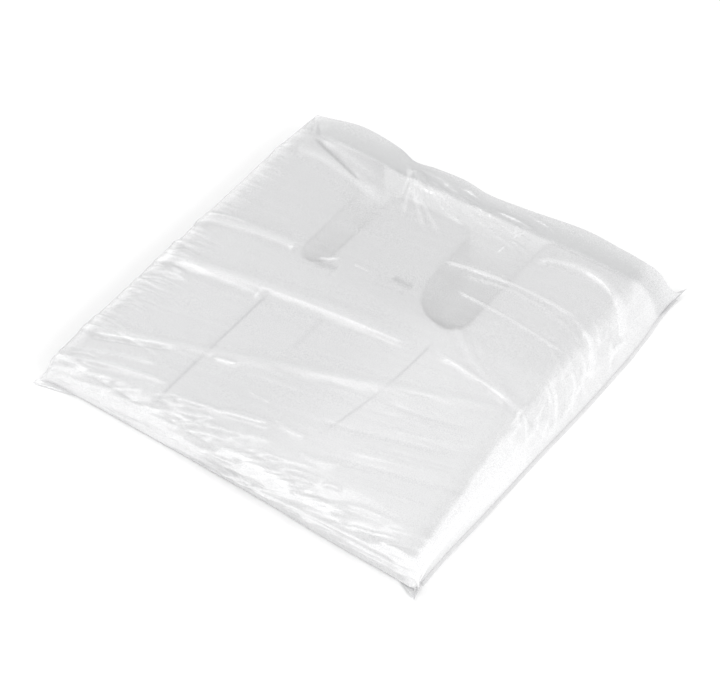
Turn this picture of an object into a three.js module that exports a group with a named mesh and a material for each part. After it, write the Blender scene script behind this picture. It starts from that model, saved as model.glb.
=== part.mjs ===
// A pack of folded, disposable salon capes in a clear film bag.
// Millimetres, +Z up. The origin is on the floor, under the middle of the bag.
// +Y points out of the bag's open mouth, and +X is to the right of someone who looks into +Y.
import * as THREE from 'three';

// Capes, folded and stacked
const capeCount = 24;
const capeWidth = 294;       // folded width, gussets tucked in
const capeLength = 297;      // folded length, a quarter of the open cape
const capeThickness = 0.78;  // sixteen film layers and the air between them
const capeCornerRadius = 6;
const curveSegments = 4;     // flats in each curve of a cape's outline

// Neck cut-out, at the mouth end of every cape
const neckWidth = 144;
const neckDepth = 120;       // from the tie ends down to the bottom of the cut-out
const neckCornerRadius = 14;
const tabWidth = 71;         // loose tab left standing in the cut-out
const tabShift = -13;        // the tab leans this far off the cut-out's middle
const tabLength = 98;        // from the bottom of the cut-out to the tab's end
const tabCornerRadius = 10;

// Bag, round the capes
const filmThickness = 0.5;   // stand-in for thin film
const leftSlack = 11;        // how far the left wall's foot stands out from the capes
const rightSlack = 19;       // the same on the right, where the film is looser
const frontSlack = 5.2;      // the same at the folded end
const lipLength = 25.8;      // loose film past the capes at the mouth
const weldWidth = 2.7;       // each side weld stands out this far
const earLength = 7.2;       // how far the corner ears point out along Y
const earBase = 18;          // how much of the end each ear takes up along X
const shoulderSteps = 5;     // flats that round each wall's shoulder
const shoulderPull = 0.55;   // how square the walls' shoulders are, from 0 to 1

// Clearances
const pieceGap = 0.3;        // between neighbouring pieces that touch
const slideGap = 0.5;        // between the capes and the film that they slide along

// Places that follow from the sizes above
const wallHalfWidth = (leftSlack + capeWidth + rightSlack) / 2;
const wallHalfLength = (frontSlack + capeLength + lipLength) / 2;
const bagHalfWidth = wallHalfWidth + pieceGap + weldWidth;
const bagHalfLength = wallHalfLength + pieceGap + earLength;
const capeLeft = leftSlack - wallHalfWidth;
const capeRight = capeLeft + capeWidth;
const capeFront = frontSlack - wallHalfLength;
const capeBack = capeFront + capeLength;
const capePitch = capeThickness + pieceGap;
const stackBase = filmThickness + pieceGap;
const topFilmUnderside = stackBase + capeCount * capePitch;
const bagHeight = topFilmUnderside + filmThickness;
const topLeft = capeLeft - slideGap;
const topRight = capeRight + slideGap;
const topFront = capeFront - slideGap;
const wallFoot = stackBase + filmThickness;
const neckMiddle = (capeLeft + capeRight) / 2;
const neckBottom = capeBack - neckDepth;

const clearFilm = new THREE.MeshStandardMaterial({
  color: 0xe8eaec,
  roughness: 0.25,
  metalness: 0,
  transparent: true,
  opacity: 0.45,
});
const weldedFilm = new THREE.MeshStandardMaterial({ color: 0xd9dcdf, roughness: 0.35, metalness: 0 });
const capeFilm = new THREE.MeshStandardMaterial({ color: 0xf1f2f3, roughness: 0.55, metalness: 0 });

function named(name, geometry, material) {
  const mesh = new THREE.Mesh(geometry, material);
  mesh.name = name;
  return mesh;
}

// A flat rectangular plate between its lowest and highest corners.
function plate(name, material, low, high) {
  const size = high.map((value, axis) => value - low[axis]);
  const middle = high.map((value, axis) => (value + low[axis]) / 2);
  const mesh = named(name, new THREE.BoxGeometry(...size), material);
  mesh.position.set(...middle);
  return mesh;
}

// A closed solid through a row of four-cornered sections, each given in the same turning order.
function loft(sections) {
  const corners = 4;
  const positions = sections.flat(2);
  const faces = [];
  const quad = (a, b, c, d) => faces.push(a, b, c, a, c, d);
  for (let level = 0; level < sections.length - 1; level += 1) {
    const low = level * corners;
    const high = low + corners;
    for (let corner = 0; corner < corners; corner += 1) {
      const next = (corner + 1) % corners;
      quad(low + corner, low + next, high + next, high + corner);
    }
  }
  const last = (sections.length - 1) * corners;
  quad(3, 2, 1, 0);
  quad(last, last + 1, last + 2, last + 3);
  const geometry = new THREE.BufferGeometry();
  geometry.setAttribute('position', new THREE.Float32BufferAttribute(positions, 3));
  geometry.setIndex(faces);
  return geometry;
}

// The outside of a wall from its foot to its shoulder: how far it stands out, and how high it is.
function wallProfile(slack) {
  const foot = new THREE.Vector2(slack, wallFoot);
  const shoulder = new THREE.Vector2(filmThickness + pieceGap, bagHeight);
  const bend = new THREE.Vector2(slack * shoulderPull, bagHeight);
  return new THREE.QuadraticBezierCurve(foot, bend, shoulder).getPoints(shoulderSteps);
}

const leftProfile = wallProfile(topLeft + wallHalfWidth);
const rightProfile = wallProfile(wallHalfWidth - topRight);
const frontProfile = wallProfile(topFront + wallHalfLength);

// A side wall runs from its mitre with the folded end to the mouth.
// side is -1 for the left wall and 1 for the right one.
function sideWall(name, side) {
  const profile = side < 0 ? leftProfile : rightProfile;
  const edge = side < 0 ? topLeft : topRight;
  const sections = profile.map((point, level) => {
    const outerX = edge + side * point.x;
    const innerX = outerX - side * filmThickness;
    const outerFront = topFront - frontProfile[level].x + pieceGap;
    const innerFront = outerFront + filmThickness;
    const innerZ = point.y - filmThickness;
    const section = [
      [outerX, outerFront, point.y],
      [outerX, wallHalfLength, point.y],
      [innerX, wallHalfLength, innerZ],
      [innerX, innerFront, innerZ],
    ];
    return side < 0 ? section.reverse() : section;
  });
  return named(name, loft(sections), clearFilm);
}

// The folded end's wall runs between its mitres with the two side walls.
function frontWall() {
  const sections = frontProfile.map((point, level) => {
    const outerLeft = topLeft - leftProfile[level].x + pieceGap;
    const outerRight = topRight + rightProfile[level].x - pieceGap;
    const outerY = topFront - point.x;
    const innerY = outerY + filmThickness;
    const innerZ = point.y - filmThickness;
    return [
      [outerLeft, outerY, point.y],
      [outerRight, outerY, point.y],
      [outerRight - filmThickness, innerY, innerZ],
      [outerLeft + filmThickness, innerY, innerZ],
    ];
  });
  return named('bag_front_panel', loft(sections), clearFilm);
}

// A flat, pointed corner, pressed thin enough for the capes to slide over. sideX and sideY are -1 or 1.
function ear(name, sideX, sideY) {
  const tip = new THREE.Vector2(sideX * bagHalfWidth, sideY * bagHalfLength);
  const rootY = sideY * (wallHalfLength + pieceGap);
  const shape = new THREE.Shape();
  shape.moveTo(tip.x, tip.y);
  shape.lineTo(tip.x, rootY);
  shape.lineTo(tip.x - sideX * earBase, rootY);
  shape.closePath();
  const geometry = new THREE.ExtrudeGeometry(shape, { depth: filmThickness, bevelEnabled: false });
  return named(name, geometry, weldedFilm);
}

// The outline of one folded cape, with its ties at each side of the neck cut-out.
function capeOutline() {
  const neckLeft = neckMiddle - neckWidth / 2;
  const neckRight = neckMiddle + neckWidth / 2;
  const tabLeft = neckMiddle + tabShift - tabWidth / 2;
  const tabRight = tabLeft + tabWidth;
  const tabEnd = neckBottom + tabLength;
  const leftWellRadius = (tabLeft - neckLeft) / 2;
  const rightWellWidth = neckRight - tabRight;
  const east = 0;
  const north = Math.PI / 2;
  const west = Math.PI;
  const shape = new THREE.Shape();
  // A quarter or half circle round (x, y). An outer corner turns left, a well turns right.
  const outerCorner = (x, y, radius, from) => shape.absarc(x, y, radius, from, from + north, false);
  const well = (x, y, radius, turn) => shape.absarc(x, y, radius, east, -turn, true);
  shape.moveTo(capeLeft, capeFront);
  shape.lineTo(capeRight, capeFront);
  outerCorner(capeRight - capeCornerRadius, capeBack - capeCornerRadius, capeCornerRadius, east);
  shape.lineTo(neckRight, capeBack);
  well(neckRight - neckCornerRadius, neckBottom + neckCornerRadius, neckCornerRadius, north);
  shape.quadraticCurveTo(tabRight, neckBottom, tabRight, neckBottom + rightWellWidth);
  outerCorner(tabRight - tabCornerRadius, tabEnd - tabCornerRadius, tabCornerRadius, east);
  outerCorner(tabLeft + tabCornerRadius, tabEnd - tabCornerRadius, tabCornerRadius, north);
  well(tabLeft - leftWellRadius, neckBottom + leftWellRadius, leftWellRadius, west);
  shape.lineTo(neckLeft, capeBack);
  outerCorner(capeLeft + capeCornerRadius, capeBack - capeCornerRadius, capeCornerRadius, north);
  shape.closePath();
  return shape;
}

function capeStack() {
  const settings = { depth: capeThickness, bevelEnabled: false, curveSegments };
  const geometry = new THREE.ExtrudeGeometry(capeOutline(), settings);
  const stack = new THREE.Group();
  for (let index = 0; index < capeCount; index += 1) {
    const number = String(index + 1).padStart(2, '0');
    const cape = named(`cape_${number}`, geometry, capeFilm);
    cape.position.z = stackBase + index * capePitch;
    stack.add(cape);
  }
  return stack;
}

// The flat panels lie over and under the capes, and stop where the lips of the mouth begin.
function flatPanels() {
  const lipStart = capeBack + pieceGap;
  const panels = new THREE.Group();
  const floorFilm = (name, front, back) => {
    const low = [-wallHalfWidth, front, 0];
    panels.add(plate(name, clearFilm, low, [wallHalfWidth, back, filmThickness]));
  };
  const coverFilm = (name, front, back) => {
    const low = [topLeft, front, topFilmUnderside];
    panels.add(plate(name, clearFilm, low, [topRight, back, bagHeight]));
  };
  floorFilm('bag_bottom_panel', -wallHalfLength, capeBack);
  floorFilm('bag_bottom_lip', lipStart, wallHalfLength);
  coverFilm('bag_top_panel', topFront, capeBack);
  coverFilm('bag_top_lip', lipStart, wallHalfLength);
  return panels;
}

// Each side weld is a narrow strip of doubled film along the floor.
function sideWelds() {
  const inner = wallHalfWidth + pieceGap;
  const height = 2 * filmThickness;
  const welds = new THREE.Group();
  const weld = (name, left) => {
    const high = [left + weldWidth, wallHalfLength, height];
    welds.add(plate(name, weldedFilm, [left, -wallHalfLength, 0], high));
  };
  weld('bag_left_weld', -bagHalfWidth);
  weld('bag_right_weld', inner);
  return welds;
}

const pack = new THREE.Group();
pack.add(
  flatPanels(),
  sideWall('bag_left_panel', -1),
  sideWall('bag_right_panel', 1),
  frontWall(),
  sideWelds(),
  ear('bag_ear_front_left', -1, -1),
  ear('bag_ear_front_right', 1, -1),
  ear('bag_ear_mouth_left', -1, 1),
  ear('bag_ear_mouth_right', 1, 1),
  capeStack(),
);

export default pack;
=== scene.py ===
# A pack of folded disposable salon capes in a clear, crinkled film bag.
# Sizes in the dictionaries are millimetres unless a note says otherwise; the meshes are in metres.
import math

import bpy
import numpy as np
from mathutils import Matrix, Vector
from mathutils.geometry import delaunay_2d_cdt


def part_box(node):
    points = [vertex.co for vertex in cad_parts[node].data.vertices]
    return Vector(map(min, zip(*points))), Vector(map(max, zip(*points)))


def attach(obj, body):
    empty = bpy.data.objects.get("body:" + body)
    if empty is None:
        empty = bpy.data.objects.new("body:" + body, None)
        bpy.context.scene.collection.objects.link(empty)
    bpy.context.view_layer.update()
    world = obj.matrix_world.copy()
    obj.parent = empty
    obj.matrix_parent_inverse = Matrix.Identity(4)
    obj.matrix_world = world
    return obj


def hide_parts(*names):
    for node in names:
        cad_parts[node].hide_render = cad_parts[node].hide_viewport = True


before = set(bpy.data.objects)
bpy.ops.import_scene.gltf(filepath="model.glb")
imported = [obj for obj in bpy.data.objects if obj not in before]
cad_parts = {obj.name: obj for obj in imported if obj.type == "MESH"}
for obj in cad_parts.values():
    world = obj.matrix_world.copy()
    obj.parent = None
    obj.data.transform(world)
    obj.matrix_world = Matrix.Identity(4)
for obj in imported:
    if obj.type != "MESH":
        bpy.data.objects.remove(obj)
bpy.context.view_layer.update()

mm = 0.001
scene = bpy.context.scene


def nodeBox(name):
    low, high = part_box(name)
    return np.array(low) / mm, np.array(high) / mm


topCapeLow, topCapeHigh = nodeBox("cape_24")
topFilmLow, topFilmHigh = nodeBox("bag_top_panel")
leftWallLow = nodeBox("bag_left_panel")[0]
rightWallHigh = nodeBox("bag_right_panel")[1]
frontWallLow = nodeBox("bag_front_panel")[0]
topLipHigh = nodeBox("bag_top_lip")[1]
bottomFilmLow, bottomFilmHigh = nodeBox("bag_bottom_panel")
bottomLipHigh = nodeBox("bag_bottom_lip")[1]
print("frame loaded")


# Smooth noise from -1 to 1 on a lattice of random heights, cell by cell.
def softNoise(x, y, cellX, cellY, seed):
    lattice = np.random.default_rng(seed).uniform(-1, 1, (64, 64))
    gx, gy = x / cellX, y / cellY
    ix, iy = np.floor(gx).astype(int), np.floor(gy).astype(int)
    fx, fy = gx - ix, gy - iy
    fx, fy = fx * fx * (3 - 2 * fx), fy * fy * (3 - 2 * fy)
    at = lambda a, b: lattice[(ix + a) % 64, (iy + b) % 64]
    near = at(0, 0) * (1 - fx) + at(1, 0) * fx
    far = at(0, 1) * (1 - fx) + at(1, 1) * fx
    return near * (1 - fy) + far * fy


# Facets like crumpled film: the distance to the nearest of a scatter of points, 0 to about 1.
def crumple(x, y, cellX, cellY, seed):
    lattice = np.random.default_rng(seed).uniform(0.05, 0.95, (64, 64, 2))
    gx, gy = x / cellX, y / cellY
    ix, iy = np.floor(gx).astype(int), np.floor(gy).astype(int)
    nearest = np.full(np.shape(gx), 9.0)
    for a in (-1, 0, 1):
        for b in (-1, 0, 1):
            spot = lattice[(ix + a) % 64, (iy + b) % 64]
            gap = np.hypot(ix + a + spot[..., 0] - gx, iy + b + spot[..., 1] - gy)
            nearest = np.minimum(nearest, gap)
    return nearest


def smoothStep(value, start, end):
    t = np.clip((value - start) / (end - start), 0, 1)
    return t * t * (3 - 2 * t)


# Points along a smooth curve through a few given points.
def curveThrough(points, steps):
    points = np.array(points, float)
    padded = np.vstack([2 * points[0] - points[1], points, 2 * points[-1] - points[-2]])
    made = []
    for i in range(len(points) - 1):
        p0, p1, p2, p3 = padded[i:i + 4]
        for t in np.linspace(0, 1, steps, endpoint=False):
            made.append(0.5 * (2 * p1 + (p2 - p0) * t + (2 * p0 - 5 * p1 + 4 * p2 - p3) * t ** 2
                               + (3 * p1 - p0 - 3 * p2 + p3) * t ** 3))
    made.append(points[-1])
    return np.array(made)


# The heights, and the whiteness, that ridges and creases add to a sheet, over its own flat places. Above
# zero the whiteness is the film's whitening with a painted highlight; below zero it is painted shade in the
# crease.
class Wrinkles:
    def __init__(self, across, along):
        self.across, self.along = across, along
        self.height = np.zeros_like(across)
        self.whiteningAndPaintedLight = np.zeros_like(across)

    # A ridge of film along a curve. lean makes one flank wider than the other.
    def ridge(self, points, height, width, whiteningAndPaintedLight=0.0, lean=0.0, taper=0.3, steps=6):
        line = curveThrough(points, steps)
        reach = 5 * width
        low, high = line.min(0) - reach, line.max(0) + reach
        near = ((self.across > low[0]) & (self.across < high[0])
                & (self.along > low[1]) & (self.along < high[1]))
        if not near.any():
            return
        x, y = self.across[near], self.along[near]
        best = np.full(x.shape, 1e9)
        place = np.zeros_like(x)
        side = np.ones_like(x)
        legs = np.diff(line, axis=0)
        run = np.concatenate([[0], np.cumsum(np.hypot(*legs.T))])
        for i, (leg, start) in enumerate(zip(legs, line[:-1])):
            size = leg @ leg + 1e-9
            t = np.clip(((x - start[0]) * leg[0] + (y - start[1]) * leg[1]) / size, 0, 1)
            dx, dy = x - start[0] - t * leg[0], y - start[1] - t * leg[1]
            gap = np.hypot(dx, dy)
            closer = gap < best
            best = np.where(closer, gap, best)
            place = np.where(closer, (run[i] + t * math.sqrt(size)) / run[-1], place)
            side = np.where(closer, np.sign(leg[0] * dy - leg[1] * dx), side)
        flank = best / (width * (1 + lean * side))
        fade = smoothStep(place, 0, taper) * smoothStep(1 - place, 0, taper)
        self.height[near] += height * fade * np.exp(-np.sqrt(flank ** 2 + 0.25) + 0.5)
        # whiteness along the ridge: the film's whitening with a painted highlight, or painted shade where
        # it is below zero
        self.whiteningAndPaintedLight[near] += whiteningAndPaintedLight * fade * np.exp(-(flank / 0.8) ** 2)


def makeMesh(name, points, faces):
    mesh = bpy.data.meshes.new(name)
    mesh.from_pydata([tuple(p) for p in np.asarray(points) * mm], [], faces)
    mesh.validate()
    mesh.update()
    mesh.polygons.foreach_set("use_smooth", [True] * len(mesh.polygons))
    made = bpy.data.objects.new(name, mesh)
    scene.collection.objects.link(made)
    return made


def setAmount(piece, name, values):
    layer = piece.data.attributes.new(name, "FLOAT", "POINT")
    layer.data.foreach_set("value", np.asarray(values, np.float32).ravel())


def gridFaces(rows, columns):
    corner = np.arange(rows * columns).reshape(rows, columns)
    around = [corner[:-1, :-1], corner[:-1, 1:], corner[1:, 1:], corner[1:, :-1]]
    return np.stack(around, -1).reshape(-1, 4).tolist()


# A shader value. Sums on it add Math nodes, and node() adds any other node.
class Wire:
    def __init__(self, tree, socket=None):
        self.tree, self.socket = tree, socket

    def node(self, kind, settings=None, sockets=None, output=0):
        made = self.tree.nodes.new("ShaderNode" + kind)
        for name, value in (settings or {}).items():
            setattr(made, name, value)
        for name, value in (sockets or {}).items():
            if isinstance(value, Wire):
                self.tree.links.new(value.socket, made.inputs[name])
            else:
                made.inputs[name].default_value = value
        return Wire(self.tree, made.outputs[output] if made.outputs else None)

    def sum(self, operation, first, second=0.0):
        return self.node("Math", {"operation": operation}, {0: first, 1: second})

    def __add__(self, other):
        return self.sum("ADD", self, other)

    def __sub__(self, other):
        return self.sum("SUBTRACT", self, other)

    def __rsub__(self, other):
        return self.sum("SUBTRACT", other, self)

    def __mul__(self, other):
        return self.sum("MULTIPLY", self, other)

    __radd__ = __add__
    __rmul__ = __mul__

    def size(self):
        return self.sum("ABSOLUTE", self)

    # 0 before start and 1 after end, smoothly
    def ramp(self, start, end):
        bounds = {"Value": self, "From Min": start, "From Max": end}
        return self.node("MapRange", {"interpolation_type": "SMOOTHSTEP"}, bounds)


def newMaterial(name):
    material = bpy.data.materials.new(name)
    material.use_nodes = True
    material.node_tree.nodes.clear()
    return material, Wire(material.node_tree)


def places(wire):
    return wire.node("TexCoord", output=3)


def stretched(wire, scale):
    return wire.node("Mapping", None, {"Vector": places(wire), "Scale": scale})


def amount(wire, name):
    return wire.node("Attribute", {"attribute_name": name}, output=2)


def bumped(wire, height, strength, depth):
    sizes = {"Height": height, "Strength": strength, "Distance": depth * mm}
    return wire.node("Bump", None, sizes)


filmLook = {
    "colour": (0.90, 0.90, 0.905, 1), "grey": (0.46, 0.463, 0.47, 1), "clear": (0.985, 0.985, 0.985, 1),
    "milk": 0.36,          # share of light that smooth film scatters
    "edgeMilk": 0.25,      # how much more it scatters where it is seen edge on
    "creaseMilk": 0.6,     # how much more it scatters along a crease; on the upper film the crease values also hold painted highlight
    "cloud": 0.08,         # how patchy it is
    "grain": 1.3,          # how speckled its grey is
    "roughness": 0.24, "gloss": 0.7, "coat": 0.35, "bump": 0.35, "bumpDepth": 0.35,
}


# Clear film: mostly see-through, whiter where it is creased, doubled or seen edge on, the crease whitening
# partly painted highlight; greyer where its shade attribute says, which on the upper film is painted shade.
def clearFilm(name, look):
    material, wire = newMaterial(name)
    crinkle = wire.node("TexNoise", None, {
        "Vector": stretched(wire, (0.6, 1.6, 1.0)), "Scale": 320.0, "Detail": 3.0, "Roughness": 0.6})
    broad = wire.node("TexNoise", None, {
        "Vector": stretched(wire, (0.5, 1.5, 1.0)), "Scale": 55.0, "Detail": 4.0, "Distortion": 0.6})
    facing = wire.node("LayerWeight", None, {"Blend": 0.35}, output=1)
    milk = amount(wire, "haze") + look["milk"] + facing * facing * look["edgeMilk"]
    milk = milk + amount(wire, "crease") * look["creaseMilk"] + (broad - 0.5) * look["cloud"]
    grain = wire.node("TexNoise", None, {"Vector": places(wire), "Scale": 1500.0, "Detail": 1.0})
    # the shade attribute sets how grey the film is (on the upper film, painted shade), plus a random
    # speckle
    greyness = amount(wire, "shade") + (grain - 0.5) * look["grain"]
    tint = wire.node("Mix", {"data_type": "RGBA"}, {
        0: greyness, 6: look["colour"], 7: look["grey"]}, output=2)
    body = wire.node("BsdfPrincipled", None, {
        "Base Color": tint, "Roughness": look["roughness"], "Specular IOR Level": look["gloss"],
        "Coat Weight": look["coat"], "Coat Roughness": 0.1,
        "Normal": bumped(wire, crinkle * 0.5 + broad, look["bump"], look["bumpDepth"])})
    through = wire.node("BsdfTransparent", None, {"Color": look["clear"]})
    bounded = wire.node("Clamp", None, {"Value": milk, "Min": 0.02, "Max": 0.97})
    mixed = wire.node("MixShader", None, {0: bounded, 1: through, 2: body})
    wire.node("OutputMaterial", None, {"Surface": mixed})
    return material


capeLook = {
    "colour": (0.80, 0.80, 0.805, 1), "shade": (0.47, 0.472, 0.48, 1),
    "paintedSideShade": 0.30,           # painted shade: how much greyer the stack looks at its left and middle than at its right
    "neckShade": 0.10,      # painted shade: how much greyer the thinner neck end is
    "foldShade": 0.54,      # painted shade: how dark the tucked-in gusset edges look through the top layer
    "foldWidth": 1.5, "gusset": 84, "roughness": 0.42,
}


# Cape film: white, with painted shade: soft grey lines where the gusset edges and folds lie underneath, a
# greyer neck end, and greyer towards the left.
def capeFilm(look):
    material, wire = newMaterial("cape_film")
    x = wire.node("SeparateXYZ", None, {"Vector": places(wire)}, output=0) * (1 / mm)
    y = wire.node("SeparateXYZ", None, {"Vector": places(wire)}, output=1) * (1 / mm)
    front, neck = topCapeLow[1], neckBottom
    # painted shade along the gusset edges and folds under the top layer
    leftLine = (x - (topCapeLow[0] + look["gusset"])).size().ramp(look["foldWidth"], 0.2)
    # a soft painted shadow to the left of the left line
    beside = x - (topCapeLow[0] + look["gusset"])
    leftLine = leftLine + beside.ramp(-9.0, 0.0) * beside.ramp(0.6, -0.6) * 0.22
    leftLine = leftLine * y.ramp(front + 140, front + 132)
    bend = (y - (neck - 20)) * (y - (neck - 20)) * 0.0011
    rightLine = (x + bend - (topCapeHigh[0] - look["gusset"] - 2)).size().ramp(look["foldWidth"], 0.2)
    rightLine = rightLine * y.ramp(neck - 14, neck - 24) * y.ramp(front + 40, front + 66)
    middleLine = (x + 20).size().ramp(look["foldWidth"] * 2, 0.4)
    middleLine = middleLine * y.ramp(neck - 36, neck - 44) * y.ramp(neck - 84, neck - 72) * 0.4
    neckEnd = y.ramp(neck - 4, neck + 6)
    cloud = wire.node("TexNoise", None, {
        "Vector": stretched(wire, (1.0, 1.4, 1.0)), "Scale": 26.0, "Detail": 3.0})
    shade = (leftLine + rightLine + middleLine) * look["foldShade"]
    # painted shade on the neck end, and a random cloudy tone
    shade = shade + neckEnd * look["neckShade"] + (cloud - 0.5) * 0.12
    # painted shade, greyer from the right towards the left and the back
    shade = shade + (1.0 - (x - y * 0.16).ramp(0, 84)) * look["paintedSideShade"]
    bounded = wire.node("Clamp", None, {"Value": shade, "Min": 0.0, "Max": 1.0})
    tint = wire.node("Mix", {"data_type": "RGBA"}, {
        0: bounded, 6: look["colour"], 7: look["shade"]}, output=2)
    crinkle = wire.node("TexNoise", None, {
        "Vector": stretched(wire, (0.5, 1.8, 1.0)), "Scale": 240.0, "Detail": 4.0, "Roughness": 0.65})
    body = wire.node("BsdfPrincipled", None, {
        "Base Color": tint, "Roughness": look["roughness"], "Specular IOR Level": 0.6,
        "Normal": bumped(wire, crinkle, 0.3, 0.3)})
    wire.node("OutputMaterial", None, {"Surface": body})
    return material


# The outline of a CAD cape, walked round its upper face.
def cadOutline(name):
    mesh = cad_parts[name].data
    key = lambda index: tuple(round(c / mm, 3) for c in mesh.vertices[index].co[:2])
    seen = {}
    for polygon in mesh.polygons:
        if polygon.normal.z > 0.9:
            corners = [key(i) for i in polygon.vertices]
            for a, b in zip(corners, corners[1:] + corners[:1]):
                seen[(a, b)] = seen.get((a, b), 0) + 1
    after = {a: b for (a, b) in seen if (b, a) not in seen}
    start = min(after)
    walk = [start]
    while after[walk[-1]] != start:
        walk.append(after[walk[-1]])
    return np.array(walk)


outline = cadOutline("cape_24")
inside = (outline[:, 0] > topCapeLow[0] + 20) & (outline[:, 0] < topCapeHigh[0] - 20)
inside &= outline[:, 1] > topCapeLow[1] + 20
neckBottom = outline[inside][:, 1].min()
print("cape outline read", len(outline), "points")

# How far the soft pack bows out of its straight outline, as (place along the side, distance)
bows = {
    "rightTop": [(-175, 13), (-140, 12), (-100, 8), (-60, 3), (-20, 0), (30, 0), (180, 0)],
    "rightFoot": [(-180, -2.5), (-130, -2.5), (-90, -1), (-30, 0.5), (20, 2.5), (70, 3.5), (110, 3),
                  (140, 0.5), (180, 0)],
    "leftTop": [(-175, 0), (-110, -1), (-60, -2), (0, -3.5), (60, -5), (110, -6), (140, -5.5), (180, -3)],
    "frontTop": [(-175, 0), (-60, -1), (20, -3.5), (80, -6), (130, -7), (180, -7)],
    "frontFoot": [(-175, -1), (-130, 0), (-40, -0.5), (40, -2), (90, -4.5), (130, -5), (180, -6)],
}
bowLines = {side: curveThrough(points, 8).T for side, points in bows.items()}
capeBow = 0.8               # how much of it the capes take part in
bowFrom = {"right": 70, "left": 85, "front": 90}    # how far out from the middle each side's bow begins


def bow(side, place):
    return np.interp(place, *bowLines[side])


# The capes' part in it: their right, left and front edges move out, and their middle stays.
def bowCapes(points):
    x, y = points[:, 0].copy(), points[:, 1].copy()
    points[:, 0] += capeBow * bow("rightTop", y) * smoothStep(x, bowFrom["right"], topCapeHigh[0])
    points[:, 0] += capeBow * bow("leftTop", y) * smoothStep(-x, bowFrom["left"], -topCapeLow[0])
    points[:, 1] += capeBow * bow("frontTop", x) * smoothStep(-y, bowFrom["front"], -topCapeLow[1])
    return points


# The pack's edges are squashed a little: (side along X, side along Y, share of the height, reach)
squashes = [(0, -1, 0.13, 24), (1, 0, 0.05, 18), (-1, 0, 0.05, 18)]


def squashAt(x, y):
    left = np.ones_like(x)
    for sideX, sideY, share, reach in squashes:
        edge = topCapeHigh[0] if sideX > 0 else -topCapeLow[0] if sideX < 0 else -topCapeLow[1]
        left = left - share * np.clip((sideX * x + sideY * y - edge + reach) / reach, 0, 1.2) ** 2
    return left


capeCut = {
    "column": 7.0,          # spacing of the mesh across a cape
    "fine": 2.0,            # spacing on the top cape
    "panels": 6,            # the neck panel and five shorter ones folded under it
    "foldBulge": 0.45,      # how far each fold stands out
    "neckLeaf": 0.5,        # how thick one cape looks at its single-panel neck end
    "shift": 0.7,           # how far a cape lies off the one below, at most
    "wave": 0.10, "topWave": 0.14,
    "foldRow": 3.5, "foldReach": 24,        # closer rows beside the folded end, and how far they go
    "short": 3,             # how far the panels under the neck panel stop short of the cut-out
    "headroom": 0.1,        # between a cape's flat layers and its CAD solid's upper face
    "edgeDrop": 0.14,       # how far the rim turns down
    "sideRoll": 0.2, "sideDip": 0.12,       # how far the under panels' sides stand out and turn down
}


# The neck panel's flat places: (points, triangles, outline loop).
# Its front edge has its points on the given columns.
def neckPanel(columns, spacing):
    loop = []
    for a, b in zip(outline, np.roll(outline, -1, 0)):
        if abs(a[1] - topCapeLow[1]) < 0.01 and abs(b[1] - topCapeLow[1]) < 0.01:
            inner = [(x, a[1]) for x in columns[1:-1]]
            loop += [tuple(a)] + (inner if b[0] > a[0] else inner[::-1])
            continue
        count = max(1, int(np.hypot(*(b - a)) / 4.0))
        loop += [tuple(a + (b - a) * k / count) for k in range(count)]
    loop = np.array(loop)
    onFront = np.abs(loop[:, 1] - topCapeLow[1]) < 0.01
    for _ in range(3):
        eased = (np.roll(loop, 1, 0) + 2 * loop + np.roll(loop, -1, 0)) / 4
        keep = onFront | (loop[:, 1] < topCapeLow[1] + 12)
        loop = np.where(keep[:, None], loop, eased)
    gx = np.arange(topCapeLow[0] + spacing * 0.5, topCapeHigh[0], spacing)
    gy = np.arange(topCapeLow[1] + spacing * 0.5, topCapeHigh[1], spacing)
    foldRow, foldReach = capeCut["foldRow"], capeCut["foldReach"]
    if spacing > foldRow:
        nearFold = topCapeLow[1] + np.arange(foldRow, foldReach, foldRow)
        gy = np.concatenate([nearFold, gy[gy > topCapeLow[1] + foldReach + 1]])
    field = np.stack(np.meshgrid(gx, gy), -1).reshape(-1, 2)
    field[::2, 1] += 0.25 * spacing
    nearest = np.full(len(field), 1e9)
    for a, b in zip(loop, np.roll(loop, -1, 0)):
        leg = b - a
        t = np.clip((field - a) @ leg / (leg @ leg + 1e-9), 0, 1)
        nearest = np.minimum(nearest, np.hypot(*(field - a - t[:, None] * leg).T))
    field = field[nearest > 0.45 * spacing]
    points = [Vector(p) for p in np.vstack([loop, field])]
    rim = list(range(len(loop)))
    verts, _, faces, _, _, _ = delaunay_2d_cdt(points, [], [rim], 1, 1e-5)
    return np.array([tuple(v) for v in verts]), [list(f) for f in faces], rim


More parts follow.
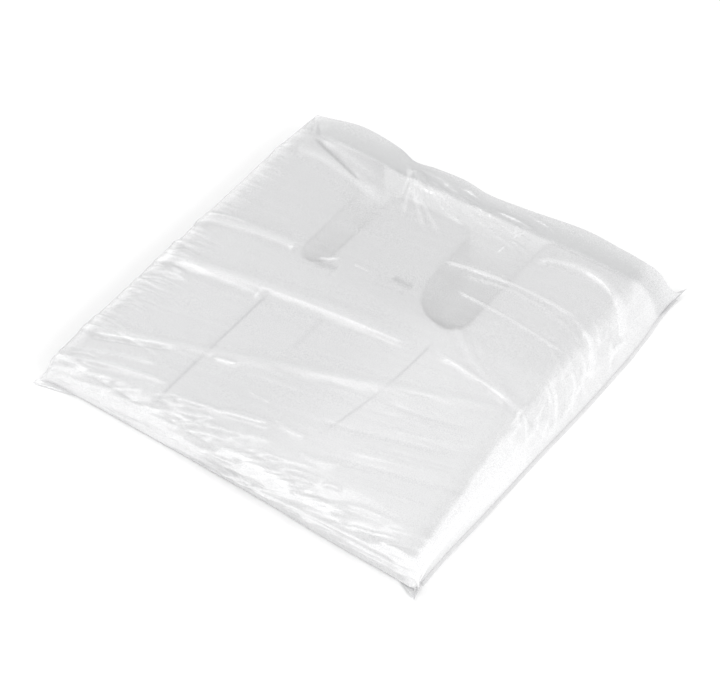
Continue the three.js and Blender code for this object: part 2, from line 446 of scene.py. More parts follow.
# One folded cape: the neck panel on top, and the shorter panels in a zigzag under it, all one sheet.
def foldedCape(name, seed, spacing, wave, plan, columns):
    low, high = nodeBox(name)
    flat, triangles, rim = plan
    rng = np.random.default_rng(seed)
    shiftX, shiftY = rng.uniform(-1, 1, 2) * capeCut["shift"]
    gap = (high[2] - low[2]) / (capeCut["panels"] - 1)
    ripple = lambda x, y: wave * (softNoise(x, y, 46, 60, seed) + 0.6 * softNoise(x, y, 17, 23, seed + 7))
    rough = lambda x, y: 0.10 * (1 - 2 * crumple(x, y, 9, 6, seed + 3)) if spacing < 4 else 0
    atNeck = smoothStep(flat[:, 1], neckBottom - 8, neckBottom + 6)
    topZ = high[2] - capeCut["headroom"] + ripple(*flat.T) + rough(*flat.T)
    sag = rng.uniform(0.05, 0.35) * smoothStep(flat[:, 1], topCapeHigh[1] - 30, topCapeHigh[1])
    points = [np.column_stack([flat, topZ - sag])]
    faces = list(triangles)
    # the rim turns down, so that each cape's edge looks like the closed fold that it is
    drop = capeCut["edgeDrop"] + (capeCut["neckLeaf"] - capeCut["edgeDrop"]) * atNeck[rim]
    rimPoints = points[0][rim]
    points.append(rimPoints - np.column_stack([np.zeros((len(rim), 2)), drop]))
    first = len(flat)
    onFront = np.abs(flat[rim][:, 1] - topCapeLow[1]) < 0.01
    for i in range(len(rim)):
        j = (i + 1) % len(rim)
        if not (onFront[i] and onFront[j]):
            faces.append([rim[i], first + i, first + j, rim[j]])
    # the zigzag under it
    rows = []
    backEdge = neckBottom - capeCut["short"]
    lengthwise = np.linspace(topCapeLow[1], backEdge, int((backEdge - topCapeLow[1]) / (2 * spacing)) + 2)
    nearFold = topCapeLow[1] + np.arange(capeCut["foldRow"], capeCut["foldReach"], capeCut["foldRow"])
    kept = (lengthwise == topCapeLow[1]) | (lengthwise > nearFold[-1])
    lengthwise = np.sort(np.concatenate([lengthwise[kept], nearFold]))
    rows.append((topCapeLow[1] - capeCut["foldBulge"], -0.5 * gap))
    for panel in range(1, capeCut["panels"]):
        forwards = panel % 2 == 1
        rows += [(y, -panel * gap) for y in (lengthwise if forwards else lengthwise[::-1])]
        if panel < capeCut["panels"] - 1:
            turn = backEdge + capeCut["foldBulge"] if forwards else topCapeLow[1] - capeCut["foldBulge"]
            rows.append((turn, -(panel + 0.5) * gap))
    roll, sideDip = capeCut["sideRoll"], capeCut["sideDip"]
    across = np.concatenate([[columns[0] - roll], columns, [columns[-1] + roll]])
    dip = np.concatenate([[-sideDip], np.zeros(len(columns)), [-sideDip]])
    rowY = np.array([r[0] for r in rows])[:, None] + 0 * across[None, :]
    rowX = across[None, :] + 0 * rowY
    rowZ = np.array([r[1] for r in rows])[:, None] + dip[None, :]
    rowZ = rowZ + high[2] - capeCut["headroom"] + ripple(rowX, rowY) * 0.8
    start = first + len(rim)
    points.append(np.stack([rowX, rowY, rowZ], -1).reshape(-1, 3))
    faces += [[a + start for a in face] for face in gridFaces(len(rows), len(across))]
    frontRow = sorted((i for i in range(len(flat)) if abs(flat[i][1] - topCapeLow[1]) < 0.01),
                      key=lambda i: flat[i][0])
    for k in range(len(frontRow) - 1):
        faces.append([frontRow[k], start + 1 + k, start + 2 + k, frontRow[k + 1]])
    everyPoint = np.vstack(points) + [shiftX, shiftY, 0]
    everyPoint[:, 2] *= squashAt(everyPoint[:, 0], everyPoint[:, 1])
    everyPoint = bowCapes(everyPoint)
    return makeMesh(name + "_folded", everyPoint, faces)


capeWidth = topCapeHigh[0] - topCapeLow[0]
columns = np.linspace(topCapeLow[0], topCapeHigh[0], int(capeWidth / capeCut["column"]) + 1)
coarsePlan = neckPanel(columns, capeCut["column"])
finePlan = neckPanel(columns, capeCut["fine"])
print("neck panels cut", len(coarsePlan[1]), len(finePlan[1]), "triangles")
capeMaterial = capeFilm(capeLook)
capeNames = sorted(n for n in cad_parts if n.startswith("cape_"))
underLength = neckBottom - capeCut["short"] - topCapeLow[1]
cutLength = (topCapeHigh[1] - topCapeLow[1]) + (capeCut["panels"] - 1) * underLength
for number, name in enumerate(capeNames):
    upper = number >= len(capeNames) - 2
    plan, spacing = (finePlan, capeCut["fine"]) if upper else (coarsePlan, capeCut["column"])
    wave = capeCut["topWave"] if upper else capeCut["wave"]
    cape = foldedCape(name, 11 + number, spacing, wave, plan, columns)
    cape.data.materials.append(capeMaterial)
    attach(cape, "top_cape" if name == capeNames[-1] else "cape_stack")
    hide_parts(name)
    cutLength * mm
print("capes folded", len(capeNames))

upperFilm = {
    "step": 1.25,           # spacing of the mesh
    "wallSteps": 28,        # rows down each wall
    "lift": 0.60,           # how far the flat film lies above the CAD film's underside
    "deepest": 0.32,        # how far a hollow in it goes down
    "foot": 0.5,            # height of the wall's foot
    "shoulderPull": 0.55,   # how square the shoulders are
    "blur": 7,              # how softly the cut-out's edge shows through
    "corners": [(-1, -1, -2.5, -8, 0.2), (1, -1, 2, -6.5, 0.3), (-1, 1, -3, 6, 9), (1, 1, 3, 7, 3.5)],
    "cornerReach": 7.0,
    # apart from the plain shade, the shade values here are painted shade in the film's grey
    "neckHaze": 0.20, "neckShade": 0.08,     # over the capes' neck ends
    "holeHaze": 0.12, "holeShade": 0.12,     # more over the cut-out
    "lipShade": 0.85, "lipHaze": 0.12,       # more past the capes
    "gatherShade": 0.8,     # more where the lip is gathered
    "shade": 0.14,          # everywhere
    "wallHaze": 0.40, "rightHaze": 0.30, "cornerHaze": 0.22, "frontShade": 0.08,
    "leftClear": 0.36, "leftShade": 0.45,    # the left wall is clearer and darkened with painted shade
    # how high the loose lip rises and how far it reaches, as (place along the mouth, distance)
    "lipRise": [(-175, 0), (-150, 0.4), (-115, 2.2), (-80, 1.2), (-62, 0), (-40, 0.8), (-15, 0.8),
                (6, 0), (40, 0.8), (85, 2.2), (118, 1.4), (143, 0.5), (175, 0)],
    "lipReach": [(-185, 0), (-150, -5.5), (-115, 0.5), (-80, -3.2), (-62, -8.5), (-44, -6.5), (-20, -5),
                 (6, -7.5), (40, -5.5), (85, -1.5), (120, -3.5), (143, -4.5), (168, -3), (185, 0)],
}


# A wall's outside from its shoulder to its foot: how far it stands out, how high it is (1 to 0),
# and the length of film down to there.
def wallProfile(slack, height, look):
    t = np.linspace(0, 1, look["wallSteps"])
    out = 2 * t * (1 - t) * slack * look["shoulderPull"] + t * t * slack
    drop = t * t
    run = np.concatenate([[0], np.cumsum(np.hypot(np.diff(out), np.diff(drop) * height))])
    return out[1:], 1 - drop[1:], run[1:]


filmTop = topFilmLow[2] + upperFilm["lift"]
wallHeight = filmTop - upperFilm["foot"]
flatX = np.arange(topFilmLow[0], topFilmHigh[0] + 0.01, upperFilm["step"])
flatY = np.arange(topFilmLow[1], topLipHigh[1] + 0.01, upperFilm["step"])
leftOut, leftHigh, leftRun = wallProfile(topFilmLow[0] - leftWallLow[0], wallHeight, upperFilm)
rightOut, rightHigh, rightRun = wallProfile(rightWallHigh[0] - flatX[-1], wallHeight, upperFilm)
frontOut, frontHigh, frontRun = wallProfile(topFilmLow[1] - frontWallLow[1], wallHeight, upperFilm)
planX = np.concatenate([(flatX[0] - leftOut)[::-1], flatX, flatX[-1] + rightOut])
riseX = np.concatenate([leftHigh[::-1], np.ones(len(flatX)), rightHigh])
openX = np.concatenate([(flatX[0] - leftRun)[::-1], flatX, flatX[-1] + rightRun])
planY = np.concatenate([(flatY[0] - frontOut)[::-1], flatY])
riseY = np.concatenate([frontHigh[::-1], np.ones(len(flatY))])
openY = np.concatenate([(flatY[0] - frontRun)[::-1], flatY])
U, V = np.meshgrid(openX, openY)
filmX, filmY = np.meshgrid(planX, planY)
rise = np.outer(riseY, riseX)
filmZ = upperFilm["foot"] + wallHeight * rise
filmZ *= squashAt(U, V)

# the loose lip past the capes rises and falls, and is drawn in where it is gathered
lip = smoothStep(V, topCapeHigh[1] - 6, topLipHigh[1])
filmZ += lip * rise * np.interp(U, *curveThrough(upperFilm["lipRise"], 8).T)
filmY += lip * np.interp(U, *curveThrough(upperFilm["lipReach"], 8).T)

# the walls bow out, by one amount at the shoulder and another at the foot
rightShare = np.clip((U - flatX[-1]) / (openX[-1] - flatX[-1]), 0, 1)
leftShare = np.clip((flatX[0] - U) / (flatX[0] - openX[0]), 0, 1)
frontShare = np.clip((flatY[0] - V) / (flatY[0] - openY[0]), 0, 1)
nearRight = smoothStep(U, bowFrom["right"], flatX[-1])
nearLeft = smoothStep(-U, bowFrom["left"], -flatX[0])
nearFront = smoothStep(-V, bowFrom["front"], -flatY[0])
bowX = nearRight * ((1 - rightShare) * bow("rightTop", V) + rightShare * bow("rightFoot", V))
bowX += nearLeft * (1 - leftShare) * bow("leftTop", V)
bowY = nearFront * ((1 - frontShare) * bow("frontTop", U) + frontShare * bow("frontFoot", U))
filmX, filmY = filmX + bowX, filmY + bowY

# the corners are drawn out towards the ears: (side along X, side along Y, and how far along X, Y and up)
for sideX, sideY, outX, outY, outZ in upperFilm["corners"]:
    footX, footY = openX[0 if sideX < 0 else -1], openY[0 if sideY < 0 else -1]
    pull = np.exp(-np.hypot(U - footX, V - footY) / upperFilm["cornerReach"])
    filmX += outX * pull
    filmY += outY * pull
    filmZ += outZ * pull

wrinkles = Wrinkles(U, V)
ridge = wrinkles.ridge

# the film's main creases: (start, end, how far it bows to its left, height, width, whiteness with a painted
# highlight or, below zero, painted shade, lean)
mainCreases = [
    # across the whole top
    ((-155, -45), (-65, -30), 4, 0.55, 3.0, 0.3, 0.0),
    ((-160, -40), (55, -10), 5, 1.0, 3.2, 0.35, 0.3),
    ((-160, -130), (145, -20), 0, 0.8, 3.2, 0.26, -0.3),
    # at the right, below the cut-out
    ((60, -5), (140, -20), 2, 1.1, 1.6, 0.5, 0.2),
    ((60, 25), (145, -20), -6, 0.8, 2.4, 0.34, -0.2),
    ((75, 25), (145, -20), -4, 0.5, 2.2, 0.2, 0.0),
    # at the right, beside the cut-out
    ((15, 75), (130, 80), 6, 0.7, 1.5, 0.4, 0.0),
    ((120, 80), (165, 45), 6, 0.7, 1.5, 0.4, 0.0),
    ((35, 70), (145, 60), 12, 0.4, 1.2, 0.2, 0.0),
    ((40, 55), (140, 45), 2, 0.5, 1.2, 0.4, 0.0),
    ((70, 115), (160, 90), 22, 0.8, 2.0, 0.35, 0.3),
    # at the left
    ((-160, 5), (-75, 25), 5, 0.8, 2.6, 0.35, 0.2),
    ((-155, 15), (-120, 25), 2, 0.4, 1.6, 0.3, 0.0),
    ((-160, -5), (-120, -5), 0, 0.4, 1.5, 0.3, 0.0),
    ((-130, -120), (-90, -120), 1, 0.3, 1.2, 0.35, 0.0),
    ((-145, -130), (-85, -105), 0, 0.5, 1.3, 0.3, 0.0),
    ((-145, -135), (-85, -110), 0, -0.5, 1.5, -0.3, 0.0),
    # below the cut-out: two raised nicks with a painted highlight and two sunken ones with painted shade
    ((-60, 25), (-45, 35), 0, 0.4, 1.0, 0.35, 0.0),
    ((-35, 35), (-20, 35), 0, 0.4, 1.0, 0.4, 0.0),
    ((-60, 20), (-40, 25), 0, -0.5, 2.2, -0.35, 0.0),
    ((-5, 40), (15, 40), 0, -0.6, 2.2, -0.35, 0.0),
    # the slanting fold at the mouth's left, and the film that is drawn towards the gathered spot
    ((-140, 135), (-80, 110), 0, -1.1, 1.7, -0.7, 0.0),
    ((-150, 120), (-45, 100), 2, 0.9, 3.4, 0.3, 0.2),
    ((-130, 135), (-70, 120), 0, 0.7, 3.0, 0.2, 0.2),
    ((-160, 95), (-140, 120), 4, 0.5, 2.4, 0.15, 0.0),
    # the folded end's left half
    ((-150, -165), (-90, -150), 0, 0.5, 1.6, 0.25, 0.0),
    ((-145, -155), (-65, -135), 2, 0.8, 1.9, 0.3, 0.0),
    ((-140, -145), (-85, -125), 1, 0.5, 1.6, 0.22, 0.0),
    ((-110, -165), (-80, -150), 0, 0.4, 1.7, 0.3, 0.0),
    ((-65, -150), (-25, -145), -2, 0.9, 1.8, 0.4, 0.0),
    ((-60, -145), (-25, -135), 0, 0.7, 1.4, 0.3, 0.0),
    ((-35, -140), (15, -125), 1, 0.8, 1.6, 0.45, 0.0),
    ((-25, -135), (15, -125), 3, 0.5, 1.5, 0.25, 0.0),
    ((-60, -100), (-40, -95), 0, 0.5, 1.3, 0.5, 0.0),
    ((-20, -110), (0, -110), -1, 0.3, 1.0, 0.35, 0.0),
    # the folded end's right half
    ((10, -120), (40, -120), -2, 0.6, 1.4, 0.35, 0.0),
    ((40, -135), (75, -125), -1, 0.5, 1.7, 0.3, 0.0),
    ((5, -165), (60, -160), 1, 0.8, 2.0, 0.6, 0.0),
    ((25, -180), (80, -170), 1, 0.8, 1.8, 0.6, 0.0),
    ((75, -170), (145, -165), 3, 0.9, 1.6, 0.6, 0.0),
    ((95, -175), (150, -170), 2, 0.8, 1.5, 0.5, 0.0),
    ((110, -165), (150, -160), 3, 0.7, 1.5, 0.5, 0.0),
    # faint lines on the right half, most of them sunken and darkened with painted shade, two raised with a
    # faint painted highlight
    ((55, -125), (150, -100), -1, -0.5, 1.7, -0.12, 0.0),
    ((35, -105), (130, -75), -2, -0.6, 1.7, -0.16, 0.0),
    ((60, -65), (125, -50), -3, -0.4, 1.7, -0.1, 0.0),
    ((60, -150), (150, -135), 1, -0.3, 3.0, -0.1, 0.0),
    ((75, -85), (140, -60), -2, 0.25, 1.4, 0.06, 0.0),
    ((65, -115), (140, -90), -1, 0.25, 1.4, 0.06, 0.0),
]


# Points along an arc from start to end that bows this far to its left.
def arcPoints(start, end, bow, count=6):
    start, end = np.array(start, float), np.array(end, float)
    share = np.linspace(0, 1, count)[:, None]
    left = np.array([start[1] - end[1], end[0] - start[0]]) / math.dist(start, end)
    return start + (end - start) * share + left * bow * 4 * share * (1 - share)


# Points along a line that leaves a place at an angle and turns by this much on its way, in radians.
def rayPoints(place, angle, length, shares, turning=0.0):
    return [(place[0] + r * length * math.cos(angle + turning * r),
             place[1] + r * length * math.sin(angle + turning * r)) for r in shares]


for start, end, bowed, height, width, whiteningAndPaintedLight, lean in mainCreases:
    points = arcPoints(start, end, bowed)
    broad = width > 1.9
    taper = 0.38 if width > 3.3 else 0.09 if math.dist(start, end) > 84 else 0.2
    ridge(points, (1.7 if broad else 1.1) * height, (1.7 if broad else 1.1) * width, whiteningAndPaintedLight, lean, taper)
    if broad and height > 0:
        ridge([(x, y + 1.2 * width) for x, y in points], 0.25 * height, 3.2 * width, 0.22 * whiteningAndPaintedLight, -0.4)

# the gathered spot at the mouth, with wrinkles that fan out of it
gather = (-60, 157)
rng = np.random.default_rng(5)
for turn in np.linspace(-78, -4, 15):
    angle = math.radians(turn + rng.uniform(-2, 2))
    length = rng.uniform(34, 78) * (1.0 if turn > -60 else 0.7)
    points = rayPoints(gather, angle, length, (0.05, 0.4, 0.75, 1.0), 0.10)
    ridge(points, rng.uniform(0.3, 0.8), rng.uniform(1.0, 2.0), rng.uniform(-0.3, 0.3))
for turn, reach in ((-65, 35), (-45, 50), (-35, 60), (5, 30)):
    start = (gather[0] + 10, gather[1] - 25)
    ridge(rayPoints(start, math.radians(turn), reach, (0, 1)), 0.7, 1.6, 0.3, taper=0.2)
for _ in range(34):
    x, y = rng.uniform(-42, 58), rng.uniform(118, 156)
    reach = rng.uniform(10, 34)
    ridge([(x - reach / 2, y + 0.1 * reach), (x, y), (x + reach / 2, y - 0.16 * reach)],
          rng.uniform(-0.4, 0.6), rng.uniform(0.8, 1.8), rng.uniform(-0.3, 0.35))
for reach in (5, 10):
    x, y = gather
    ridge([(x - 4 - reach, y + 4), (x - reach, y - 8), (x + 8, y - 24 - reach)], -0.6, 2.4)
# short ridges at the lip with a painted highlight along them
lipPaintedGlints = (((15, 140), (20, 135)), ((40, 140), (45, 130)), ((50, 140), (45, 125)), ((45, 115), (45, 105)))
for start, end in lipPaintedGlints:
    ridge([start, end], 0.6, 1.1, 0.5)
lipFolds = (((10, 150), (60, 145)), ((5, 145), (50, 150)), ((0, 130), (35, 130)), ((-15, 150), (30, 140)))
for start, end in lipFolds:
    ridge([start, ((start[0] + end[0]) / 2, (start[1] + end[1]) / 2 - 1.5), end], 0.5, 1.6, 0.15)

# short wrinkles that run in from the left edge, arched near its middle
leftEdge = -151
for _ in range(34):
    y = rng.uniform(-100, -10)
    reach = rng.uniform(22, 40)
    bulge = rng.uniform(6, 14)
    points = [(leftEdge - 7, y - bulge - 6), (leftEdge, y - bulge), (leftEdge + 0.4 * reach, y),
              (leftEdge + reach, y + rng.uniform(-4, 4))]
    ridge(points, rng.uniform(0.15, 0.4), rng.uniform(0.9, 1.6), rng.uniform(0.02, 0.14))
for _ in range(110):
    y = rng.uniform(-128, 110)
    busy = 0.7 if y < -15 else 0.4
    reach = rng.uniform(12, 40) * (0.6 + 0.4 * busy)
    rising = rng.uniform(1, 7)
    points = [(leftEdge - 9, y - rising), (leftEdge - 2, y - 0.3 * rising), (leftEdge + 0.5 * reach, y),
              (leftEdge + reach, y + rng.uniform(-2, 2))]
    ridge(points, rng.uniform(0.3, 0.8) * busy, rng.uniform(0.9, 2.0), rng.uniform(0.0, 0.22) * busy)

# the folded end's shoulder is broken up by long thin folds that cross it at a slant
for _ in range(110):
    x = rng.uniform(-150, 150)
    y = rng.uniform(-176, -142)
    reach = rng.uniform(16, 52)
    ridge([(x - reach / 2, y - 0.2 * reach), (x, y), (x + reach / 2, y + 0.06 * reach)],
          rng.uniform(-0.4, 0.7), rng.uniform(0.8, 1.5), rng.uniform(-0.1, 0.4))

# the folded end: bunched ridges that run along it and climb to the right
for _ in range(120):
    x = rng.uniform(-160, 150)
    y = rng.uniform(-186, -156) + 4 * math.sin(x / 40)
    reach = rng.uniform(14, 46)
    climb = rng.uniform(0.02, 0.22) * reach
    strength = 1.0 if x > -40 else 0.75
    ridge([(x - reach / 2, y - climb), (x, y + rng.uniform(-1, 1)), (x + reach / 2, y + climb)],
          rng.uniform(0.4, 1.0) * strength, rng.uniform(0.7, 1.5), rng.uniform(-0.15, 0.6) * strength,
          lean=rng.uniform(-0.4, 0.4))
for _ in range(34):
    x = rng.uniform(-60, 140)
    y = rng.uniform(-158, -138) - 6 * (x > 60)
    reach = rng.uniform(14, 40)
    ridge([(x - reach / 2, y - 0.16 * reach), (x, y), (x + reach / 2, y + 0.12 * reach)],
          rng.uniform(0.2, 0.6), rng.uniform(0.9, 1.8), rng.uniform(0.05, 0.25))

# the right side: long faint lines along it, and a crumpled stretch beside the neck
for _ in range(26):
    x = rng.uniform(146, 172)
    y = rng.uniform(-150, 130)
    reach = rng.uniform(30, 90)
    ridge([(x, y - reach / 2), (x + rng.uniform(-0.8, 0.8), y), (x, y + reach / 2)],
          rng.uniform(0.1, 0.35), rng.uniform(0.8, 1.6), rng.uniform(0.0, 0.12))
for _ in range(70):
    y = rng.uniform(-44, 96)
    x = rng.uniform(138, 168)
    reach = rng.uniform(10, 30)
    aside = rng.uniform(-0.1, 0.6) * reach
    points = [(x - aside, y + 0.4 * reach), (x, y + 0.06 * reach), (x + aside, y - 0.44 * reach)]
    ridge(points, rng.uniform(-0.4, 0.6), rng.uniform(0.8, 1.8), rng.uniform(-0.15, 0.3))
for x, y in ((152, 66), (156, 48), (162, 30)):
    ridge([(x - 18, y + 9), (x - 3, y + 2), (x + 6, y - 12), (x + 8, y - 30)], 0.6, 1.3, 0.25)
for edge in (137, 147):
    points = [(edge, 150), (edge + 1, 80), (edge + 2, 10), (edge + 8, -60), (edge + 10, -150)]
    ridge(points, -0.25, 1.2, 0.0, taper=0.05)

# long thin lines along the foot of the folded end
for _ in range(44):
    x, y = rng.uniform(-150, 40), rng.uniform(-186, -166)
    reach = rng.uniform(40, 100)
    ridge([(x - reach / 2, y - 0.03 * reach), (x, y), (x + reach / 2, y + 0.05 * reach)],
          rng.uniform(-0.2, 0.4), rng.uniform(0.6, 1.1), rng.uniform(-0.35, 0.2))

# faint lines that run in from the right shoulder
for _ in range(26):
    x, y = rng.uniform(60, 118), rng.uniform(-150, -36)
    reach = rng.uniform(30, 80)
    slant = 0.24 + rng.uniform(-0.06, 0.12)
    halfX, halfY = 0.5 * reach, 0.5 * slant * reach
    ridge([(x - halfX, y - halfY), (x, y + rng.uniform(-1, 1)), (x + halfX, y + halfY)],
          rng.uniform(-0.3, 0.25), rng.uniform(0.8, 1.7), rng.uniform(-0.11, 0.11))

# wrinkles that run out of the front corners and over the shoulders
for tipX, tipY, count, first, last, reaches in ((openX[-1], openY[0], 15, 97, 172, (16, 44)),
                                                (openX[0], openY[0], 13, 6, 72, (18, 60))):
    for turn in np.linspace(first, last, count):
        angle = math.radians(turn + rng.uniform(-3, 3))
        length = rng.uniform(*reaches)
        points = rayPoints((tipX, tipY), angle, length, (0.12, 0.5, 1.0))
        ridge(points, rng.uniform(0.5, 1.1), rng.uniform(1.1, 1.9), rng.uniform(0.05, 0.35))

# broad, low swells and fine facets all over, stronger where the film is bunched
rightBunch = 0.8 * np.exp(-((U - 156) / 12) ** 2) * smoothStep(V, -45, -20) * smoothStep(-V, -100, -80)
bunched = np.maximum(smoothStep(-V, 150, 164), rightBunch)
fine = 0.5 - crumple(U + 0.4 * V, V - 0.15 * U, 13, 5.5, 21)
finer = 0.5 - crumple(U, V, 5.0, 3.2, 22)
swell = softNoise(U, V, 60, 34, 31) + 0.5 * softNoise(U + 0.8 * V, V, 26, 18, 32)
streaks = softNoise(U + 3.2 * V, V - 0.12 * U, 150, 6.5, 33)
streaks = streaks + 0.6 * softNoise(U + 1.5 * V, V - 0.18 * U, 70, 3.6, 34)
facets = (0.07 + 0.45 * bunched) * fine
wrinkles.height += 0.22 * swell + 0.12 * streaks + facets + (0.03 + 0.2 * bunched) * finer
# whiter along the streaks' crests: the film's whitening with a painted highlight
wrinkles.whiteningAndPaintedLight += 0.05 * np.maximum(streaks, 0)

# where the film has capes right under it: 1 over them, 0 over the cut-out and past their ends
beneath = np.zeros(U.shape, bool)
for (ax, ay), (bx, by) in zip(outline, np.roll(outline, -1, 0)):
    if ay != by:
        beneath ^= ((ay > V) != (by > V)) & (U < ax + (V - ay) * (bx - ax) / (by - ay))
beneath = beneath.astype(float)
for _ in range(upperFilm["blur"]):
    beneath[1:-1] = (beneath[:-2] + 2 * beneath[1:-1] + beneath[2:]) / 4
    beneath[:, 1:-1] = (beneath[:, :-2] + 2 * beneath[:, 1:-1] + beneath[:, 2:]) / 4
pastCapes = smoothStep(V, topCapeHigh[1] - 3, topCapeHigh[1] + 4)
outside = np.maximum(np.maximum(topCapeLow[0] - U, U - topCapeHigh[0]), topCapeLow[1] - V)
onWall = smoothStep(outside + 2 * softNoise(U, V, 30, 12, 63), -10, 4)
edgeOfNeck = V + 12 * softNoise(U, V, 38, 60, 61) + 5 * softNoise(U, V, 12, 20, 62)
neckEnd = smoothStep(edgeOfNeck, neckBottom - 34, neckBottom + 44) * (1 - onWall)
overNeck = (1 - beneath) * (1 - pastCapes) * (1 - onWall) * smoothStep(V, neckBottom - 20, neckBottom)
onLeft = smoothStep(topCapeLow[0] - U, -3, 5) * smoothStep(V, -172, -146)
rightHalf = smoothStep(U, -40, 40)
haze = upperFilm["neckHaze"] * neckEnd + upperFilm["holeHaze"] * overNeck * (1.4 - 0.4 * rightHalf)
haze += upperFilm["wallHaze"] * onWall
onRight = smoothStep(U - topCapeHigh[0], -8, 6)
haze += upperFilm["rightHaze"] * onRight * (1 - 0.65 * smoothStep(V, -80, -15))
haze += upperFilm["cornerHaze"] * smoothStep(frontShare, 0, 0.3) * smoothStep(-U, 0, 70)
haze += upperFilm["lipHaze"] * pastCapes
# the film's grey: a little everywhere, then painted shade over the neck ends and the cut-out, on the lip
# past the capes and at the gathered spot
shade = upperFilm["shade"] + upperFilm["neckShade"] * neckEnd
shade += upperFilm["holeShade"] * overNeck * (0.6 + 0.4 * rightHalf)
lipEnd = smoothStep(V, topCapeHigh[1] + 8, topLipHigh[1])
shade += upperFilm["lipShade"] * pastCapes * (1 - 0.5 * onWall) * (1 - 0.4 * lipEnd)
fromGather = np.hypot(U - gather[0] + 6, V - gather[1] + 3)
shade += upperFilm["gatherShade"] * np.exp(-fromGather / 11) * (1 - onWall)
# the left wall: clearer film with painted shade
haze -= upperFilm["leftClear"] * onLeft
shade += upperFilm["leftShade"] * onLeft
# painted shade along the front wall's foot
shade += upperFilm["frontShade"] * smoothStep(frontShare, 0.45, 0.95)

base = np.stack([filmX, filmY, filmZ], -1)
alongX = np.gradient(base, axis=1)
alongY = np.gradient(base, axis=0)
normal = np.cross(alongX, alongY)
normal /= np.linalg.norm(normal, axis=-1, keepdims=True) + 1e-9
hollow = -upperFilm["deepest"] * np.tanh(-wrinkles.height / upperFilm["deepest"])
height = np.where((wrinkles.height < 0) & (rise > 0.97), hollow, wrinkles.height)
height = height * smoothStep(rise, -0.02, 0.12)
film = base + normal * height[..., None]
film[..., 2] = np.maximum(film[..., 2], 0.35)
upper = makeMesh("bag_film_over", film.reshape(-1, 3), gridFaces(*U.shape))
# the crease attribute: the film's whitening along creases, with painted highlight
setAmount(upper, "crease", np.clip(wrinkles.whiteningAndPaintedLight, 0, 1))
setAmount(upper, "haze", haze)
# sunken creases add painted shade to the film's grey
setAmount(upper, "shade", shade + np.maximum(-wrinkles.whiteningAndPaintedLight, 0))
upper.data.materials.append(clearFilm("clear_film", filmLook))
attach(upper, "bag")
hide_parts("bag_top_panel", "bag_top_lip", "bag_left_panel", "bag_right_panel", "bag_front_panel")
print("upper film made", film.shape)

lowerFilm = {
    "columns": 82, "rows": 84, "height": 0.36, "wave": 0.08,
    "lipWave": 0.25, "lipReach": 1.5,       # the lip's waves, and how far it reaches past the CAD's
    "bowFrom": 60,          # how far out from the middle its right side's bow begins
}
underBack = bottomLipHigh[1] + lowerFilm["lipReach"]
underX, underY = np.meshgrid(np.linspace(bottomFilmLow[0], bottomFilmHigh[0], lowerFilm["columns"]),
                             np.linspace(bottomFilmLow[1], underBack, lowerFilm["rows"]))
footX = bow("rightFoot", underY) * smoothStep(underX, lowerFilm["bowFrom"], bottomFilmHigh[0])
footY = bow("frontFoot", underX) * smoothStep(-underY, bowFrom["front"], -bottomFilmLow[1])
underZ = lowerFilm["height"] + lowerFilm["wave"] * softNoise(underX, underY, 24, 18, 41)
underLip = smoothStep(underY, topCapeHigh[1], bottomLipHigh[1])
underZ += lowerFilm["lipWave"] * underLip * softNoise(underX, underY, 30, 40, 42)
underX, underY = underX + footX, underY + footY
underPoints = np.stack([underX, underY, underZ], -1).reshape(-1, 3)
lower = makeMesh("bag_film_under", underPoints, gridFaces(*underX.shape))
lower.data.materials.append(clearFilm("clear_film_under", filmLook))
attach(lower, "bag")
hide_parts("bag_bottom_panel", "bag_bottom_lip")
print("lower film made")

weldLook = dict(filmLook, milk=0.72, colour=(0.9, 0.9, 0.905, 1), creaseMilk=0.2)
weldMaterial = clearFilm("welded_film", weldLook)
weldCut = {
    "columns": 5, "rows": 200, "wave": 0.2,
    "overlap": 1.2,         # how far it goes in under the wall's foot
    "height": 0.5, "fall": 0.3,             # its height at the wall, and how far it falls to its edge
    "sway": 0.3,            # how far its edge strays
}
for name, side in (("bag_left_weld", -1), ("bag_right_weld", 1)):
    low, high = nodeBox(name)
    inner = (high[0] if side < 0 else low[0]) - side * weldCut["overlap"]
    outer = low[0] if side < 0 else high[0]
    lengthwise = np.linspace(low[1], high[1], weldCut["rows"])
    share, along = np.meshgrid(np.linspace(0, 1, weldCut["columns"]), lengthwise)
    x = inner + (outer - inner) * share + weldCut["sway"] * share * softNoise(along, along * 0, 18, 50, 51)
    x += bow("rightFoot", along) * (side > 0)
    z = weldCut["height"] - weldCut["fall"] * share
    z = z + weldCut["wave"] * share * (1 + softNoise(along, share * 9, 9, 30, 52 + side))
    weld = makeMesh(name + "_strip", np.stack([x, along, z], -1).reshape(-1, 3), gridFaces(*x.shape))
    setAmount(weld, "crease", 0.4 * (np.abs(share - 0.5) < 0.2))
    weld.data.materials.append(weldMaterial)
    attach(weld, "bag")
    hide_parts(name)
print("welds made")

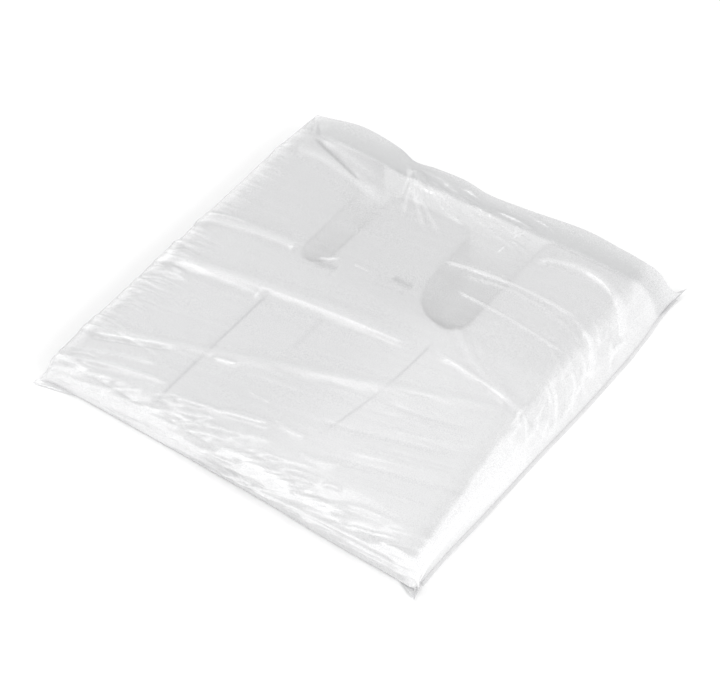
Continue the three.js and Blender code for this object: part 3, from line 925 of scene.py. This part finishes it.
# each ear: a flat triangle of doubled film, from the corner's foot out to its tip
# (leg along X, leg along Y, height of the tip, how far the tip goes past the CAD's in X and Y, greyness)
earCut = {
    "front_left": (34, 20, 1.0, 0, -1, 0.25), "front_right": (13, 12, 2.5, 0, -6.5, 0.35),
    "mouth_left": (4, 5, 9.0, -1, 0, 0.0), "mouth_right": (5.5, 26, 4.0, 1.5, 4, 0.5),
}
earShape = {"rows": 18, "belly": 0.45, "ruffle": 0.5, "fold": 0.3, "haze": 0.2, "foot": 0.5}
for corner, (legAcross, legAlong, lift, outX, outY, grey) in earCut.items():
    name = "bag_ear_" + corner
    low, high = nodeBox(name)
    sideX = -1 if corner.endswith("left") else 1
    sideY = -1 if corner.startswith("front") else 1
    tipX = (low[0] if sideX < 0 else high[0]) + outX
    tipY = (low[1] if sideY < 0 else high[1]) + outY
    tip = np.array([tipX, tipY, lift])
    cornerX = leftWallLow[0] if sideX < 0 else rightWallHigh[0] + bow("rightFoot", sideY * 160)
    cornerY = frontWallLow[1] + bow("frontFoot", sideX * 150) if sideY < 0 else topLipHigh[1]
    acrossEnd = np.array([cornerX - sideX * legAcross, cornerY - sideY * 0.4, earShape["foot"]])
    alongEnd = np.array([cornerX - sideX * 0.2, cornerY - sideY * legAlong, earShape["foot"]])
    rows = earShape["rows"]
    share, turn = np.meshgrid(np.linspace(0, 1, rows), np.linspace(0, 1, rows))
    root = acrossEnd + (alongEnd - acrossEnd) * turn[..., None]
    belly = np.minimum(turn, 1 - turn) * 2 * min(legAcross, legAlong) * earShape["belly"]
    root += np.array([sideX, sideY, 0]) * belly[..., None]
    patch = root + (tip - root) * share[..., None]
    ruffle = earShape["ruffle"] * np.sin(turn * 3 * math.pi) * (1 - share) * share * 2
    patch[..., 2] += ruffle + earShape["fold"] * (turn > 0.5) * share
    ear = makeMesh(name + "_tip", patch.reshape(-1, 3), gridFaces(rows, rows))
    setAmount(ear, "crease", 0.25 * np.exp(-((turn - 0.5) / 0.08) ** 2))
    setAmount(ear, "haze", earShape["haze"] + 0 * turn)
    setAmount(ear, "shade", grey + 0 * turn)
    ear.data.materials.append(weldMaterial)
    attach(ear, "bag")
    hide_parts(name)
underWide, underLong = (underX.max() - underX.min()) * mm, (underY.max() - underY.min()) * mm
print("ears made")

studio = {
    "focal": 112.5, "distance": 1.6213, "azimuth": 35.26, "elevation": 45.24,   # metres and degrees
    "aim": (0, -0.0015, 0), "shift": (-0.00486, -0.00758), "world": 0.70,
    # each light's place, its width and height in metres, and its watts
    "lights": {
        "key": ((1.9, -0.35, 1.2), (1.3, 1.0), 17),
        "fill": ((-1.9, 0.9, 1.1), (1.4, 1.2), 11),
        "strip": ((-0.8, 0.25, 1.8), (1.1, 0.25), 7),
        "front": ((0.4, -1.8, 0.75), (1.5, 0.6), 9),
    },
}
floorMesh = bpy.data.meshes.new("floor")
floorMesh.from_pydata([(-6, -6, 0), (6, -6, 0), (6, 6, 0), (-6, 6, 0)], [], [(0, 1, 2, 3)])
floor = bpy.data.objects.new("floor", floorMesh)
scene.collection.objects.link(floor)
floorMaterial, floorWire = newMaterial("studio_floor")
floorBody = floorWire.node("BsdfPrincipled", None, {
    "Base Color": (0.97, 0.97, 0.97, 1), "Roughness": 0.9, "Specular IOR Level": 0.0})
floorWire.node("OutputMaterial", None, {"Surface": floorBody})
floorMesh.materials.append(floorMaterial)

world = bpy.data.worlds.new("studio")
scene.world = world
world.use_nodes = True
world.node_tree.nodes["Background"].inputs["Color"].default_value = (1, 1, 1, 1)
world.node_tree.nodes["Background"].inputs["Strength"].default_value = studio["world"]
scene.view_settings.view_transform = "Standard"


# A rectangular lamp that is aimed at the middle of the floor.
def softLight(name, place, size, power):
    lamp = bpy.data.lights.new(name, "AREA")
    lamp.shape, lamp.size, lamp.size_y, lamp.energy = "RECTANGLE", size[0], size[1], power
    made = bpy.data.objects.new(name, lamp)
    made.location = place
    made.rotation_mode = "QUATERNION"
    made.rotation_quaternion = (-Vector(place)).to_track_quat("-Z", "Y")
    scene.collection.objects.link(made)


for name, (place, size, power) in studio["lights"].items():
    softLight(name, place, size, power)

turn, tilt = math.radians(studio["azimuth"]), math.radians(studio["elevation"])
back = Vector((math.sin(turn) * math.cos(tilt), -math.cos(turn) * math.cos(tilt), math.sin(tilt)))
camera = bpy.data.objects.new("camera", bpy.data.cameras.new("camera"))
camera.data.lens, camera.data.sensor_width = studio["focal"], 36
camera.data.shift_x, camera.data.shift_y = studio["shift"]
camera.data.clip_start, camera.data.clip_end = 0.05, 30
camera.location = Vector(studio["aim"]) + back * studio["distance"]
camera.rotation_mode = "QUATERNION"
camera.rotation_quaternion = (-back).to_track_quat("-Z", "Y")
scene.collection.objects.link(camera)
scene.camera = camera
print("studio ready")
